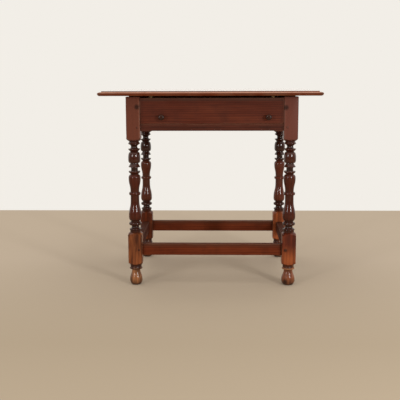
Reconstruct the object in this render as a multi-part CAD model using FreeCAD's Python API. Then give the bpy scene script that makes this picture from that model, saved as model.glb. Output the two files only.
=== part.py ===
import FreeCAD, Part
import math
import os
from collections import namedtuple

# A joined side table with one drawer: four turned legs, three aprons, a rail under the drawer,
# a box stretcher and a moulded board top. Millimetres, +Z up, +X to the right, the front at -Y.
# The origin is on the floor under the middle of the frame.

Vector = FreeCAD.Vector

# Overall sizes
table_height = 711.0
frame_width = 613.0
frame_depth = 490.0
leg_square = 50.0
leg_arris = 1.5
blank_spare = 2.0

# Top: three boards, a thumb moulding all round, set a little to the left on the frame
top_thickness = 16.5
end_overhang = 88.0
front_overhang = 45.0
top_shift = -6.0
front_board_width = 198.0
rear_board_width = 190.0
mould_fillet = 3.0
mould_reach = 13.0
mould_nose_height = 8.0
mould_under_reach = 8.0

# Square blocks of the leg
leg_top_relief = 4.0
upper_block_height = 154.5
lower_block_height = 115.5
lower_block_bottom = 79.0
shoulder_slope = 0.7

# Rims of the turned rings: a rounded tip that stands past its flanks, with a steep step beside it
ring_tip_height = 3.5
ring_tip_rise = 1.0
ring_step_height = 0.5

# Turned part of the leg under the upper block: spool, barrel and a pair of cups round a waist
collar_radius = 17.2
collar_height = 5.5
spool_ring_radius = 21.6
spool_flare_height = 5.3
spool_return_height = 3.2
spool_waist_edge = 15.2
spool_waist_radius = 11.6
spool_waist_height = 13.0
spool_taper_height = 7.0
neck_radius = 14.6
neck_height = 2.5
barrel_radius = 22.2
barrel_end_radius = 16.5
barrel_round_height = 11.0
barrel_height = 39.0
cup_ring_radius = 21.2
cup_flare_height = 9.3
cup_waist_radius = 12.6
cup_waist_height = 12.7
cup_low_tip_height = 5.5
cup_taper_height = 5.5

# Turned part of the leg between the cups and the base rings: two vases and a middle ring
upper_vase_share = 0.403
upper_vase_radius = 22.0
upper_vase_shoulder = 11.5
vase_neck_radius = 15.8
vase_neck_height = 17.0
middle_ring_radius = 21.2
middle_ring_edge = 19.0
middle_ring_height = 10.4
middle_ring_fillet = 1.5
lower_vase_radius = 23.2
lower_vase_bulb_height = 15.0
lower_vase_foot_radius = 15.8

# Turned part of the leg over the lower block: two base rings
base_neck_height = 4.5
base_ring_radius = 23.0
base_ring_edge = 17.5
base_ring_height = 13.0
base_waist_radius = 13.5
base_waist_height = 4.0
base_flare_height = 7.6
base_nose_radius = 21.6
base_nose_edge = 20.0
base_nose_height = 6.0
base_collar_radius = 19.5
base_collar_height = 7.1

# Foot under the lower block
ankle_collar_radius = 20.5
ankle_ring_radius = 23.4
ankle_flare_height = 2.5
ankle_radius = 15.6
foot_height = 59.5
foot_radius = 24.6
foot_radius_height = 18.0
foot_flat_radius = 12.5

# Aprons and the rail under the drawer
apron_height = 124.5
apron_thickness = 22.0
apron_setback = 6.0
apron_tenon_thickness = 9.0
apron_tenon_length = 26.0
apron_tenon_top_shoulder = 25.0
apron_tenon_low_shoulder = 9.5
rail_height = 24.0
rail_thickness = 30.0
rail_setback = 2.0
rail_tenon_thickness = 9.0
rail_tenon_length = 24.0
rail_tenon_shoulder = 2.5

# Box stretcher
stretcher_bottom = 113.0
stretcher_height = 42.0
stretcher_thickness = 25.0
stretcher_arris = 2.0
stretcher_tenon_thickness = 9.0
stretcher_tenon_length = 19.0
stretcher_tenon_shoulder = 5.0

# Pegs through the tenons and through the top
peg_diameter = 8.0
peg_depth = 35.0
peg_proud = 0.6
peg_inset = 11.5
peg_edge = 18.0
peg_stagger = 11.0
top_peg_diameter = 9.0
top_peg_hold = 32.0
top_peg_rear_inset = 106.5

# Drawer
drawer_side_gap = 1.5
drawer_low_gap = 1.5
drawer_top_gap = 8.0
drawer_setback = 2.0
drawer_rear_gap = 35.0
drawer_front_thickness = 20.0
drawer_front_lip = 9.0
drawer_side_thickness = 11.0
drawer_side_drop = 2.5
drawer_side_inset = 1.0
drawer_back_thickness = 11.0
drawer_bottom_thickness = 8.0
drawer_bottom_lift = 8.0
drawer_groove_depth = 4.0

# What carries, guides and stops the drawer
runner_height = 20.0
runner_width = 41.5
guide_height = 18.0
guide_gap = 0.8
stop_width = 10.0
stop_length = 30.0
stop_height = 14.0
stop_inset = 38.5
stop_clearance = 3.0

# Knobs
knob_inset = 66.5
knob_shift = 11.0
knob_rise = 23.5
knob_radius = 10.5
knob_tip_radius = 3.7
knob_projection = 22.0
knob_head_height = 9.0
knob_neck_radius = 5.0
knob_neck_height = 7.5
knob_base_radius = 7.0
knob_base_height = 2.5
knob_tenon_radius = 4.5

# Nails
nail_radius = 1.3
nail_head_radius = 3.0
nail_head_height = 1.2
drawer_nail_length = 30.0
runner_nail_length = 54.0
guide_nail_length = 32.0
nail_end_margin = 45.0

# Clearances
joint_clearance = 0.15
socket_spare = 1.0
peg_clearance = 0.1
slide_clearance = 0.3
groove_clearance = 0.2

# Levels and reaches worked out from the sizes above
underside = table_height - top_thickness
leg_top = underside - leg_top_relief
upper_block_bottom = leg_top - upper_block_height
lower_block_top = lower_block_bottom + lower_block_height
apron_bottom = underside - apron_height
rail_top = apron_bottom + rail_height
half_width = frame_width / 2
half_depth = frame_depth / 2
half_leg = leg_square / 2
corner_reach = leg_square / math.sqrt(2) + blank_spare
span_across = frame_width - 2 * leg_square
span_deep = frame_depth - 2 * leg_square
apron_inner_x = half_width - apron_setback - apron_thickness
apron_inner_y = half_depth - apron_setback - apron_thickness
apron_middle_x = apron_inner_x + apron_thickness / 2
apron_middle_y = apron_inner_y + apron_thickness / 2
top_peg_rear_spacing = span_across - 2 * top_peg_rear_inset

# Levels and faces of the drawer
drawer_face = -half_depth + drawer_setback
drawer_front_back = drawer_face + drawer_front_thickness
drawer_low = rail_top + drawer_low_gap
drawer_high = underside - drawer_top_gap
drawer_front_x = span_across / 2 - drawer_side_gap
drawer_outer_x = drawer_front_x - drawer_side_inset
drawer_inner_x = drawer_outer_x - drawer_side_thickness
knob_spacing = span_across - 2 * knob_inset
stop_spacing = span_across - 2 * stop_inset
drawer_side_low = rail_top + slide_clearance
drawer_side_high = drawer_high - drawer_side_drop
drawer_rear = apron_inner_y - drawer_rear_gap
drawer_back_high = underside - stop_height - stop_clearance
panel_low = drawer_side_low + drawer_bottom_lift
panel_high = panel_low + drawer_bottom_thickness

# A cubic curve with its handles this share of the way to the corner is a quarter of an ellipse
quarter_round = 0.5523

# A side of the frame: the turn that brings the front there, the span between its legs, and how
# far its legs' outer faces stand from the middle of the table
Side = namedtuple("Side", "turn span reach")
FRONT = Side(0, span_across, half_depth)
RIGHT = Side(90, span_deep, half_width)
REAR = Side(180, span_across, half_depth)
LEFT = Side(270, span_deep, half_width)

# A member tenoned between two legs, with the sockets and peg holes that it needs in them
Member = namedtuple("Member", "solid sockets pegs peg_holes")


def block(x_range, y_range, z_range):
    """A box between pairs of coordinates, given in either order."""
    lows = [min(pair) for pair in (x_range, y_range, z_range)]
    highs = [max(pair) for pair in (x_range, y_range, z_range)]
    sizes = [high - low for low, high in zip(lows, highs)]
    return Part.makeBox(*sizes, Vector(*lows))


def turned_to(shape, side):
    """A shape made at the front, turned round to another side of the frame."""
    return shape.rotated(Vector(0, 0, 0), Vector(0, 0, 1), side.turn)


def mirrored(shape):
    """The left-hand shape's right-hand twin, or the other way round."""
    return shape.mirror(Vector(0, 0, 0), Vector(1, 0, 0))


def both_sides(shape):
    """A shape and its twin on the other side of the table."""
    return [shape, mirrored(shape)]


def quarter_curve(start, corner, end):
    """A quarter of an ellipse from start to end, bulging towards corner."""
    curve = Part.BezierCurve()
    near_start = start + (corner - start) * quarter_round
    near_end = end + (corner - end) * quarter_round
    curve.setPoles([start, near_start, near_end, end])
    return curve.toShape()


class Turning:
    """Half the outline of a turned piece: radius along X, level along Z, drawn from end to end."""

    def __init__(self, radius, level):
        """Start on the axis at one end, and go straight out to the radius there."""
        self.at = Vector(0, 0, level)
        self.edges = []
        self.line(radius, level)

    def add(self, edge, end):
        """Take one more edge of the outline."""
        self.edges.append(edge)
        self.at = end

    def line(self, radius, level):
        """A straight run, such as a fillet, a neck or a chamfer. One of no length adds nothing."""
        end = Vector(radius, 0, level)
        if not end.isEqual(self.at, 1e-6):
            self.add(Part.LineSegment(self.at, end).toShape(), end)

    def arc(self, radius, level, middle_radius):
        """A bead or a hollow: an arc whose middle stands at another radius."""
        end = Vector(radius, 0, level)
        middle = Vector(middle_radius, 0, (self.at.z + level) / 2)
        self.add(Part.Arc(self.at, middle, end).toShape(), end)

    def quarter(self, radius, level, upright_first):
        """A quarter round that leaves along the axis, or square to it."""
        end = Vector(radius, 0, level)
        corner = Vector(self.at.x, 0, level) if upright_first else Vector(radius, 0, self.at.z)
        self.add(quarter_curve(self.at, corner, end), end)

    def sway(self, radius, level):
        """A double curve that leaves and arrives along the axis."""
        end = Vector(radius, 0, level)
        halfway = (self.at.z + level) / 2
        curve = Part.BezierCurve()
        curve.setPoles([self.at, Vector(self.at.x, 0, halfway), Vector(radius, 0, halfway), end])
        self.add(curve.toShape(), end)

    def solid(self):
        """Close the outline on the axis and turn it."""
        self.line(0, self.at.z)
        start = self.edges[0].Vertexes[0].Point
        self.add(Part.LineSegment(self.at, start).toShape(), start)
        face = Part.Face(Part.Wire(self.edges))
        return face.revolve(Vector(0, 0, 0), Vector(0, 0, 1), 360)


def shoulder(level, radius, direction):
    """Level where a block's conical shoulder, which leaves its faces at a level, has a radius."""
    return level + direction * shoulder_slope * (half_leg - radius)


def draw_tip(outline, radius, height):
    """The rounded rim of a ring, from one flank to the other."""
    outline.arc(radius - ring_tip_rise, outline.at.z - height, radius)


def draw_spool(outline):
    """From the upper block down: a collar, two sharp rings with a waist between them, and a neck."""
    rim = spool_ring_radius - ring_tip_rise
    outline.line(collar_radius, shoulder(upper_block_bottom, collar_radius, -1))
    outline.line(collar_radius, upper_block_bottom - collar_height)
    outline.line(rim, outline.at.z - spool_flare_height)
    draw_tip(outline, spool_ring_radius, ring_tip_height)
    outline.line(spool_waist_edge, outline.at.z - spool_return_height)
    outline.arc(spool_waist_edge, outline.at.z - spool_waist_height, spool_waist_radius)
    outline.line(rim, outline.at.z - ring_step_height)
    draw_tip(outline, spool_ring_radius, ring_tip_height)
    outline.line(neck_radius, outline.at.z - spool_taper_height)
    outline.line(neck_radius, outline.at.z - neck_height)


def draw_barrel(outline):
    """A barrel with rounded ends, and the neck under it."""
    outline.line(barrel_end_radius, outline.at.z)
    outline.quarter(barrel_radius, outline.at.z - barrel_round_height, False)
    outline.line(barrel_radius, outline.at.z - barrel_height + 2 * barrel_round_height)
    outline.quarter(barrel_end_radius, outline.at.z - barrel_round_height, True)
    outline.line(neck_radius, outline.at.z)
    outline.line(neck_radius, outline.at.z - neck_height)


def draw_cups(outline):
    """Two cups that open towards a waist between them, and the neck under them."""
    rim = cup_ring_radius - ring_tip_rise
    outline.line(rim, outline.at.z - cup_flare_height)
    draw_tip(outline, cup_ring_radius, ring_tip_height)
    outline.line(cup_waist_radius, outline.at.z - ring_step_height)
    outline.line(cup_waist_radius, outline.at.z - cup_waist_height)
    outline.line(rim, outline.at.z - ring_step_height)
    draw_tip(outline, cup_ring_radius, cup_low_tip_height)
    outline.line(neck_radius, outline.at.z - cup_taper_height)
    outline.line(neck_radius, outline.at.z - neck_height)


def draw_vases(outline, lower_end):
    """The two vases, foot to foot on the middle ring. They share the height that the rest leaves."""
    ring_total = middle_ring_height + 2 * middle_ring_fillet
    vase_room = outline.at.z - lower_end - ring_total
    upper_end = outline.at.z - upper_vase_share * vase_room
    outline.quarter(upper_vase_radius, outline.at.z - upper_vase_shoulder, False)
    outline.sway(vase_neck_radius, upper_end)
    outline.line(vase_neck_radius, outline.at.z - middle_ring_fillet)
    outline.line(middle_ring_edge, outline.at.z)
    outline.arc(middle_ring_edge, outline.at.z - middle_ring_height, middle_ring_radius)
    outline.line(vase_neck_radius, outline.at.z)
    outline.line(vase_neck_radius, outline.at.z - middle_ring_fillet - vase_neck_height)
    outline.sway(lower_vase_radius, lower_end + lower_vase_bulb_height)
    outline.quarter(lower_vase_foot_radius, lower_end, True)


def draw_base_rings(outline):
    """From the lower vase down to the lower block: two rings with a hollow between them, and a collar."""
    outline.line(lower_vase_foot_radius, outline.at.z - base_neck_height)
    outline.line(base_ring_edge, outline.at.z)
    outline.arc(base_ring_edge, outline.at.z - base_ring_height, base_ring_radius)
    outline.line(base_waist_radius, outline.at.z)
    outline.line(base_waist_radius, outline.at.z - base_waist_height)
    outline.quarter(base_nose_edge, outline.at.z - base_flare_height, True)
    outline.arc(base_nose_edge, outline.at.z - base_nose_height, base_nose_radius)
    outline.line(base_collar_radius, outline.at.z)
    outline.line(base_collar_radius, shoulder(lower_block_top, base_collar_radius, 1))


def draw_foot(outline):
    """Under the lower block: a collar with a sharp rim, and the pear-shaped foot."""
    tip_top = foot_height + ring_step_height + ring_tip_height
    outline.line(ankle_collar_radius, shoulder(lower_block_bottom, ankle_collar_radius, -1))
    outline.line(ankle_collar_radius, tip_top + ankle_flare_height)
    outline.line(ankle_ring_radius - ring_tip_rise, tip_top)
    draw_tip(outline, ankle_ring_radius, ring_tip_height)
    outline.line(ankle_radius, foot_height)
    outline.sway(foot_radius, foot_radius_height)
    outline.quarter(foot_flat_radius, 0, True)


def leg_blank():
    """A leg on the axis, turned from square stock, before its sockets are cut."""
    base_rings = base_neck_height + base_ring_height + base_waist_height
    base_rings += base_flare_height + base_nose_height + base_collar_height
    vase_end = shoulder(lower_block_top, base_collar_radius, 1) + base_rings
    outline = Turning(corner_reach, leg_top)
    outline.line(corner_reach, shoulder(upper_block_bottom, corner_reach, -1))
    draw_spool(outline)
    draw_barrel(outline)
    draw_cups(outline)
    draw_vases(outline, vase_end)
    draw_base_rings(outline)
    outline.line(corner_reach, shoulder(lower_block_top, corner_reach, 1))
    outline.line(corner_reach, shoulder(lower_block_bottom, corner_reach, -1))
    draw_foot(outline)
    stock = block((-half_leg, half_leg), (-half_leg, half_leg), (0, leg_top))
    upright = [edge for edge in stock.Edges if edge.Vertexes[0].Z != edge.Vertexes[1].Z]
    return outline.solid().common(stock.makeFillet(leg_arris, upright))


def peg(x, z, reach, radius, depth, proud):
    """A round peg driven in from the front face of a leg."""
    return Part.makeCylinder(radius, depth + proud, Vector(x, -reach - proud, z), Vector(0, 1, 0))


def tenoned_member(side, setback, thickness, levels, tenon_thickness, tenon_levels, tenon_length,
                   peg_levels, arris=0):
    """A rail, apron or stretcher between two legs, with a tenon, a socket and pegs at each end."""
    half_span = side.span / 2
    outer = -(side.reach - setback)
    inner = outer + thickness
    middle = (outer + inner) / 2
    body = block((-half_span, half_span), (outer, inner), levels)
    if arris:
        along = [edge for edge in body.Edges if edge.Vertexes[0].X != edge.Vertexes[1].X]
        body = body.makeFillet(arris, along)
    half_tenon = tenon_thickness / 2
    half_socket = half_tenon + joint_clearance
    tongue = block((-half_span - tenon_length, half_span + tenon_length),
                   (middle - half_tenon, middle + half_tenon), tenon_levels)
    socket = block((half_span, half_span + tenon_length + socket_spare),
                   (middle - half_socket, middle + half_socket),
                   (tenon_levels[0] - joint_clearance, tenon_levels[1] + joint_clearance))
    peg_x = half_span + peg_inset
    radius = peg_diameter / 2
    pegs = []
    holes = []
    for level in peg_levels:
        pegs += both_sides(peg(peg_x, level, side.reach, radius, peg_depth, peg_proud))
        holes += both_sides(peg(peg_x, level, side.reach, radius + peg_clearance,
                                peg_depth + socket_spare, peg_proud))
    solid = body.fuse(tongue).removeSplitter().cut(Part.makeCompound(holes))
    placed = [[turned_to(shape, side) for shape in group] for group in (both_sides(socket), pegs, holes)]
    return Member(turned_to(solid, side), *placed)


def apron(side, stagger):
    """One of the three fixed sides of the frame, pinned with two pegs at each end."""
    low = apron_bottom + apron_tenon_low_shoulder
    high = underside - apron_tenon_top_shoulder
    pegs = (low + peg_edge + stagger, high - peg_edge + stagger)
    return tenoned_member(side, apron_setback, apron_thickness, (apron_bottom, underside),
                          apron_tenon_thickness, (low, high), apron_tenon_length, pegs)


def drawer_rail():
    """The narrow rail under the drawer front, pinned with one peg at each end."""
    low = apron_bottom + rail_tenon_shoulder
    high = rail_top - rail_tenon_shoulder
    return tenoned_member(FRONT, rail_setback, rail_thickness, (apron_bottom, rail_top),
                          rail_tenon_thickness, (low, high), rail_tenon_length, [(low + high) / 2])


def stretcher(side, stagger):
    """One side of the box stretcher, in the middle of the lower blocks, with one peg at each end."""
    top = stretcher_bottom + stretcher_height
    low = stretcher_bottom + stretcher_tenon_shoulder
    high = top - stretcher_tenon_shoulder
    setback = half_leg - stretcher_thickness / 2
    return tenoned_member(side, setback, stretcher_thickness, (stretcher_bottom, top),
                          stretcher_tenon_thickness, (low, high), stretcher_tenon_length,
                          [(low + high) / 2 + stagger], stretcher_arris)


def moulded_slab(half_across, half_along):
    """A slab along Y with the moulding on its two long sides, running past the top's own ends."""
    past_end = half_along + top_thickness
    edge = half_across - mould_reach
    nose_level = underside + mould_nose_height
    under = half_across - mould_under_reach
    fillet_level = table_height - mould_fillet

    def side_edges(sign):
        """Fillet, thumb and rounded underside, from the top face down."""
        rim = Vector(sign * edge, 0, table_height)
        step = Vector(sign * edge, 0, fillet_level)
        nose = Vector(sign * half_across, 0, nose_level)
        tuck = Vector(sign * under, 0, underside)
        thumb = quarter_curve(step, Vector(sign * half_across, 0, fillet_level), nose)
        below = quarter_curve(nose, Vector(sign * half_across, 0, underside), tuck)
        return rim, tuck, [Part.LineSegment(rim, step).toShape(), thumb, below]

    right_rim, right_tuck, right = side_edges(1)
    left_rim, left_tuck, left = side_edges(-1)
    upper = Part.LineSegment(left_rim, right_rim).toShape()
    lower = Part.LineSegment(right_tuck, left_tuck).toShape()
    face = Part.Face(Part.Wire([upper] + right + [lower] + left[::-1]))
    face.translate(Vector(0, -past_end, 0))
    return face.extrude(Vector(0, 2 * past_end, 0))


def top_boards():
    """The three boards of the top, edge to edge, and the pegs that hold them on the aprons."""
    half_x = half_width + end_overhang
    half_y = half_depth + front_overhang
    ends = moulded_slab(half_x, half_y)
    sides = moulded_slab(half_y, half_x).rotated(Vector(0, 0, 0), Vector(0, 0, 1), 90)
    slab = ends.common(sides)
    seams = [-half_y, -half_y + front_board_width, half_y - rear_board_width, half_y]
    levels = (underside, table_height)
    boards = [slab.common(block((-half_x, half_x), pair, levels)) for pair in zip(seams, seams[1:])]
    boards = [board.translated(Vector(top_shift, 0, 0)) for board in boards]
    half_span = span_deep / 2
    places = [(sign * top_peg_rear_spacing / 2, apron_middle_y) for sign in (-1, 1)]
    for low, high in zip(seams, seams[1:]):
        middle = (max(low, -half_span) + min(high, half_span)) / 2
        places += [(sign * apron_middle_x, middle) for sign in (-1, 1)]
    pegs = [top_peg(x, y, 0) for x, y in places]
    holes = Part.makeCompound([top_peg(x, y, peg_clearance) for x, y in places])
    return [board.cut(holes) for board in boards], pegs, holes


def top_peg(x, y, clearance):
    """A peg through the top into the edge of an apron, or the hole for it."""
    spare = socket_spare if clearance else 0
    length = top_thickness + top_peg_hold + spare
    radius = top_peg_diameter / 2 + clearance
    return Part.makeCylinder(radius, length, Vector(x, y, table_height - length))


def nail(head, direction, length, clearance=0):
    """A round-headed nail set flush, with its head at a point, or the hole for it."""
    shank = Part.makeCylinder(nail_radius + clearance, length + clearance, head, direction)
    cap = Part.makeCylinder(nail_head_radius + clearance, nail_head_height + clearance, head, direction)
    return shank.fuse(cap).removeSplitter()


def nail_set(places, length):
    """Nails at heads and directions, and one shape of all their holes."""
    nails = [nail(head, direction, length) for head, direction in places]
    holes = [nail(head, direction, length, peg_clearance) for head, direction in places]
    return nails, Part.makeCompound(holes)


def drawer_supports():
    """The right-hand runner and guide, fixed to the apron, and the nails that hold them."""
    half_span = span_deep / 2
    along = (-half_span, half_span)
    runner_inner = apron_inner_x - runner_width
    runner = block((runner_inner, apron_inner_x), along, (rail_top - runner_height, rail_top))
    guide_inner = drawer_outer_x + guide_gap
    guide = block((guide_inner, apron_inner_x), along, (rail_top, rail_top + guide_height))
    nail_level = rail_top - runner_height / 2
    stations = [-half_span + nail_end_margin, 0, half_span - nail_end_margin]
    runner_places = [(Vector(runner_inner, y, nail_level), Vector(1, 0, 0)) for y in stations]
    guide_middle = (guide_inner + apron_inner_x) / 2
    between = [(low + high) / 2 for low, high in zip(stations, stations[1:])]
    guide_places = [(Vector(guide_middle, y, rail_top + guide_height), Vector(0, 0, -1)) for y in between]
    runner_nails, runner_holes = nail_set(runner_places, runner_nail_length)
    guide_nails, guide_holes = nail_set(guide_places, guide_nail_length)
    holes = Part.makeCompound([runner_holes, guide_holes])
    return runner.cut(holes), guide.cut(holes), runner_nails + guide_nails, holes


def knob_place(side):
    """Where a knob meets the drawer front: side is 1 on the right and -1 on the left."""
    return Vector(knob_shift + side * knob_spacing / 2, drawer_face, drawer_low + knob_rise)


def knob(side):
    """The knob on one side of the middle, with the tenon that goes through the drawer front."""
    head_level = knob_base_height + knob_neck_height
    outline = Turning(knob_tip_radius, knob_projection)
    outline.quarter(knob_radius, knob_projection - knob_head_height / 2, False)
    outline.quarter(knob_neck_radius, head_level, True)
    outline.line(knob_neck_radius, knob_base_height)
    outline.line(knob_base_radius, knob_base_height)
    outline.line(knob_base_radius, 0)
    outline.line(knob_tenon_radius, 0)
    outline.line(knob_tenon_radius, -drawer_front_thickness)
    turned = outline.solid()
    turned.rotate(Vector(0, 0, 0), Vector(1, 0, 0), 90)
    turned.translate(knob_place(side))
    return turned


def knob_hole(side):
    """The hole through the drawer front for a knob's tenon."""
    return Part.makeCylinder(knob_tenon_radius + peg_clearance, drawer_front_thickness,
                             knob_place(side), Vector(0, 1, 0))


def drawer_pieces():
    """Front, right-hand side, back and bottom of the drawer, and the nails that hold them."""
    lip_back = drawer_face + drawer_front_lip
    back_front = drawer_rear - drawer_back_thickness
    slot_x = drawer_inner_x + drawer_groove_depth
    slot_y = drawer_front_back - drawer_groove_depth
    front = block((-drawer_front_x, drawer_front_x), (drawer_face, drawer_front_back),
                  (drawer_low, drawer_high))
    rebate = block((drawer_inner_x, drawer_front_x), (lip_back, drawer_front_back),
                   (drawer_low, drawer_high))
    side = block((drawer_inner_x, drawer_outer_x), (lip_back, drawer_rear),
                 (drawer_side_low, drawer_side_high))
    back = block((-drawer_inner_x, drawer_inner_x), (back_front, drawer_rear),
                 (panel_high, drawer_back_high))
    panel_x = slot_x - groove_clearance
    panel_front = slot_y + groove_clearance
    panel = block((-panel_x, panel_x), (panel_front, drawer_rear), (panel_low, panel_high))
    slot = block((-slot_x, slot_x), (slot_y, drawer_rear), (panel_low, panel_high))

    into_end = Vector(-1, 0, 0)
    third = (drawer_side_high - panel_high) / 3
    front_levels = [panel_high + third, panel_high + 2 * third]
    back_third = (drawer_back_high - panel_high) / 3
    back_levels = [panel_high + back_third, panel_high + 2 * back_third]
    rebate_middle = (lip_back + drawer_front_back) / 2
    back_middle = (back_front + drawer_rear) / 2
    places = [(Vector(drawer_outer_x, rebate_middle, level), into_end) for level in front_levels]
    places += [(Vector(drawer_outer_x, back_middle, level), into_end) for level in back_levels]
    end_nails, end_holes = nail_set(places, drawer_nail_length)
    thirds = [-drawer_inner_x / 2, 0, drawer_inner_x / 2]
    panel_places = [(Vector(x, back_middle, panel_low), Vector(0, 0, 1)) for x in thirds]
    panel_nails, panel_holes = nail_set(panel_places, drawer_nail_length)

    nails = [twin for one in end_nails for twin in both_sides(one)] + panel_nails
    holes = Part.makeCompound(both_sides(end_holes) + [panel_holes])
    front = front.cut(Part.makeCompound(both_sides(rebate)))
    front = front.cut(slot).cut(holes).cut([knob_hole(-1), knob_hole(1)])
    return front, side.cut(slot).cut(holes), back.cut(holes), panel.cut(holes), nails


def drawer_stop():
    """The right-hand stop under the top, just behind the drawer front."""
    middle = stop_spacing / 2
    start = drawer_front_back + slide_clearance
    return block((middle - stop_width / 2, middle + stop_width / 2), (start, start + stop_length),
                 (underside - stop_height, underside))


def save(name, shapes):
    """Write one node: a single solid, or a group of separate ones."""
    shape = shapes[0] if len(shapes) == 1 else Part.makeCompound(shapes)
    solids = shape.Solids
    sound = shape.isValid() and all(solid.Volume > 0 for solid in solids)
    print(f"{name}: {len(solids)} solid(s), {shape.Volume / 1000:.1f} cm3, valid {sound}")
    shape.exportStep(f"parts/{name}.step")


def save_pair(name, right_shape):
    """Write a right-hand piece and its left-hand twin as two nodes."""
    save(f"{name}_right", [right_shape])
    save(f"{name}_left", [mirrored(right_shape)])


def main():
    """Build every piece and write it as a node of its own."""
    os.makedirs("parts", exist_ok=True)
    boards, top_pegs, top_holes = top_boards()
    runner, guide, runner_nails, support_holes = drawer_supports()
    support_holes = Part.makeCompound(both_sides(support_holes))
    aprons = {"apron_left": apron(LEFT, 0), "apron_right": apron(RIGHT, 0),
              "apron_rear": apron(REAR, peg_stagger)}
    rail = drawer_rail()
    stretchers = {"stretcher_front": stretcher(FRONT, 0), "stretcher_rear": stretcher(REAR, 0),
                  "stretcher_left": stretcher(LEFT, -peg_stagger),
                  "stretcher_right": stretcher(RIGHT, -peg_stagger)}

    upper = list(aprons.values()) + [rail]
    lower = list(stretchers.values())
    cuts = [cut for member in upper + lower for cut in member.sockets + member.peg_holes]
    blank = leg_blank()
    for depth_name, y in (("front", half_leg - half_depth), ("rear", half_depth - half_leg)):
        for side_name, x in (("left", half_leg - half_width), ("right", half_width - half_leg)):
            leg = blank.translated(Vector(x, y, 0))
            save(f"leg_{depth_name}_{side_name}", [leg.cut(cuts)])

    for name, member in aprons.items():
        save(name, [member.solid.cut([top_holes, support_holes])])
    save("drawer_rail", [rail.solid])
    for name, member in stretchers.items():
        save(name, [member.solid])
    for name, board in zip(("front", "middle", "rear"), boards):
        save(f"top_board_{name}", [board])

    front, side, back, panel, drawer_nails = drawer_pieces()
    save("drawer_front", [front])
    save_pair("drawer_side", side)
    save("drawer_back", [back])
    save("drawer_bottom", [panel])
    save("knob_left", [knob(-1)])
    save("knob_right", [knob(1)])
    save_pair("drawer_stop", drawer_stop())
    save_pair("drawer_runner", runner)
    save_pair("drawer_guide", guide)

    save("top_pegs", top_pegs)
    save("apron_pegs", [one for member in upper for one in member.pegs])
    save("stretcher_pegs", [one for member in lower for one in member.pegs])
    save("drawer_nails", drawer_nails)
    save("runner_nails", [twin for one in runner_nails for twin in both_sides(one)])


main()
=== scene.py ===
"""Looks of a small joined table: turned legs, a box stretcher, a moulded board top and one drawer."""

import logging
import math
from dataclasses import dataclass, replace
from enum import Enum

import bmesh
import bpy
from bmesh.types import BMEdge, BMesh
from bpy.types import Material, NodeSocket, NodeTree, Object, World
from mathutils import Euler, Matrix, Quaternion, Vector, noise
from mathutils.geometry import interpolate_bezier, intersect_line_line


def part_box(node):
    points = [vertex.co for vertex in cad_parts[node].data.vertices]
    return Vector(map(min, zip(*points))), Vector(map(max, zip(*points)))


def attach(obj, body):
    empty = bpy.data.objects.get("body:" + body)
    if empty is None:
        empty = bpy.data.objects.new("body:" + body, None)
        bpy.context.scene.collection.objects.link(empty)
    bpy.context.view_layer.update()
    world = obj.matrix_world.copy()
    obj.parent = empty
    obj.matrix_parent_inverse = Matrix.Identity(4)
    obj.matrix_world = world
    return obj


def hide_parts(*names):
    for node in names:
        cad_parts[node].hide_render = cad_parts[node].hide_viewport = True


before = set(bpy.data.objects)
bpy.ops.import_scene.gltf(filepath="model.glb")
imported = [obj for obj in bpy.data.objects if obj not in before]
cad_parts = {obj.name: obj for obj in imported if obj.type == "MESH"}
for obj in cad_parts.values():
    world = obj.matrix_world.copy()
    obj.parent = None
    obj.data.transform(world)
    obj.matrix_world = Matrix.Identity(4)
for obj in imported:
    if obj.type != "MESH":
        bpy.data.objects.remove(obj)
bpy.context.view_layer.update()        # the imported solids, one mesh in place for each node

MM = 0.001
SAME_PLACE = 0.01 * MM      # corners of a solid that lie closer than this are one
WAVE_RADIANS = 20           # what Blender's wave texture runs through in one unit of length
log = logging.getLogger("tavern_table")

Box = tuple[Vector, Vector]
Span = tuple[float, float]
Layer = tuple[str, NodeSocket]


def linear(colour: str) -> tuple[float, float, float, float]:
    """Turn an sRGB hex colour into the linear one that shaders take.

    Args:
        colour: Six hex digits after a hash.

    Returns:
        Red, green, blue and an alpha of one.
    """
    channels = [int(colour[start:start + 2], 16) / 255 for start in (1, 3, 5)]
    red, green, blue = (c / 12.92 if c <= 0.04045 else ((c + 0.055) / 1.055) ** 2.4 for c in channels)
    return red, green, blue, 1.0


def fresh_tree(owner: Material | World) -> NodeTree:
    """Give a new material or world an empty node tree.

    Args:
        owner: The material or the world.

    Returns:
        Its tree.
    """
    owner.use_nodes = True
    owner.node_tree.nodes.clear()
    return owner.node_tree


def add_node(tree: NodeTree, kind: str, inputs: tuple | dict[str, object] = (),
             output: int | str = 0, **settings: object) -> NodeSocket | None:
    """Add one shader node with its settings and links.

    Args:
        tree: The node tree that gets the node.
        kind: The node's type name, without the word ShaderNode.
        inputs: Values, or sockets to link from, in the order of the inputs or by name.
        output: Number or name of the output that is handed back.
        settings: The node's own options, by name.

    Returns:
        The chosen output socket, or None for a node that has none.
    """
    node = tree.nodes.new(f"ShaderNode{kind}")
    for name, value in settings.items():
        setattr(node, name, value)
    for key, value in inputs.items() if isinstance(inputs, dict) else enumerate(inputs):
        if isinstance(value, NodeSocket):
            tree.links.new(value, node.inputs[key])
        else:
            node.inputs[key].default_value = value
    return node.outputs[output] if node.outputs else None


def painted(tree: NodeTree, base: str, layers: list[Layer]) -> NodeSocket:
    """Lay colours over a base colour, each through its own mask.

    Args:
        tree: The node tree.
        base: The lowest colour, as sRGB hex.
        layers: A colour and a mask for each layer, from the lowest up.

    Returns:
        The colour that is left to see.
    """
    colour = linear(base)
    for shade, mask in layers:
        colour = add_node(tree, "Mix", {"Factor": mask, "A": colour, "B": linear(shade)}, "Result",
                          data_type="RGBA")
    return colour


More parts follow.
